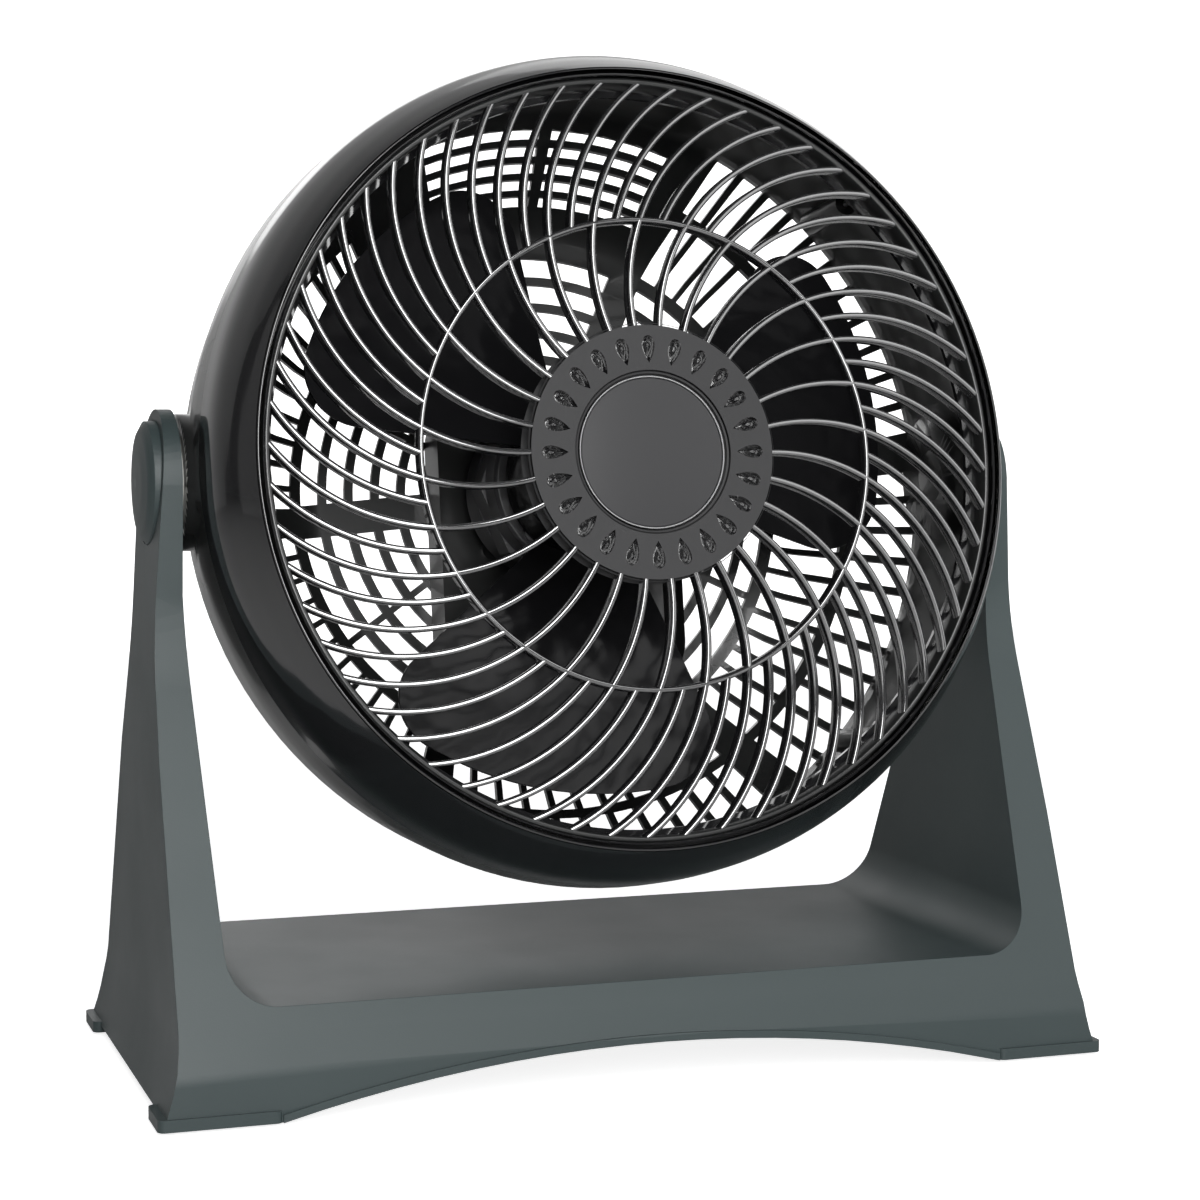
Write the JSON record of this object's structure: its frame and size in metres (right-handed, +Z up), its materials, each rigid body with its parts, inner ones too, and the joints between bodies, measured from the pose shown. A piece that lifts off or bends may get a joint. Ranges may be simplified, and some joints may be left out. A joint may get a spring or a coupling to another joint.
{
  "type": "air circulator fan",
  "caption": "Desk and floor air circulator: round head with a swirl grille and wide blades, tilting between the arms of an arched U stand, with a rear speed knob.",
  "frame": {"origin": "centre of the overall box on the floor, 3.9 mm in front of the pivot line", "axes": "+Z up, X along the pivot line, the fan faces -Y"},
  "size_m": [0.4184, 0.2048, 0.4361],
  "materials": {
    "stand_plastic": "satin, fine moulded",
    "pad_rubber": "matt",
    "shell_gloss": "high gloss",
    "grille_gloss": "high gloss",
    "blade_gloss": "high gloss",
    "knob_gloss": "gloss",
    "badge_grey": "satin",
    "washer_nylon": "plain",
    "zinc_steel": "zinc plated",
    "motor_shell": "painted",
    "lamination": "bare",
    "copper": "enamelled",
    "bronze": "sintered",
    "switch_plastic": "matt"
  },
  "bodies": {
    "stand": {"stand_frame": "stand_plastic", "foot_pads": "pad_rubber", "left_pivot_cap": "stand_plastic", "right_pivot_cap": "stand_plastic"},
    "head": {"pivot_washers": "zinc_steel", "pivot_screws": "zinc_steel", "front_ring": "shell_gloss", "rear_housing": "shell_gloss", "front_grille": "grille_gloss", "hub_badge": "badge_grey", "left_trunnion": "shell_gloss", "right_trunnion": "shell_gloss", "trunnion_screws": "zinc_steel", "friction_washers": "washer_nylon", "housing_screws": "zinc_steel", "motor_rear_shell": "motor_shell", "motor_front_shell": "motor_shell", "stator_core": "lamination", "stator_windings": "copper", "motor_bearings": "bronze", "motor_bolts": "zinc_steel", "speed_switch": "switch_plastic", "switch_nut": "zinc_steel", "cord_gland": "switch_plastic"},
    "impeller": {"rotor_core": "lamination", "rotor_shaft": "zinc_steel", "fan_blade": "blade_gloss", "blade_nut": "blade_gloss"},
    "knob": {"switch_shaft": "switch_plastic", "speed_knob": "knob_gloss"}
  },
  "joints": [
    {"name": "head_tilt", "type": "hinge", "parent": "stand", "child": "head", "pos_m": [0, 0.0039, 0.253], "axis": [-1, 0, 0], "range_deg": [-24.4, 80.6]},
    {"name": "blade_spin", "type": "hinge", "parent": "head", "child": "impeller", "pos_m": [0, 0.0039, 0.253], "axis": [0, -0.9866, 0.1633], "continuous": true},
    {"name": "speed_knob_turn", "type": "hinge", "parent": "head", "child": "knob", "pos_m": [0, 0.0039, 0.253], "axis": [0, 0.9866, -0.1633], "range_deg": [0, 135]}
  ]
}
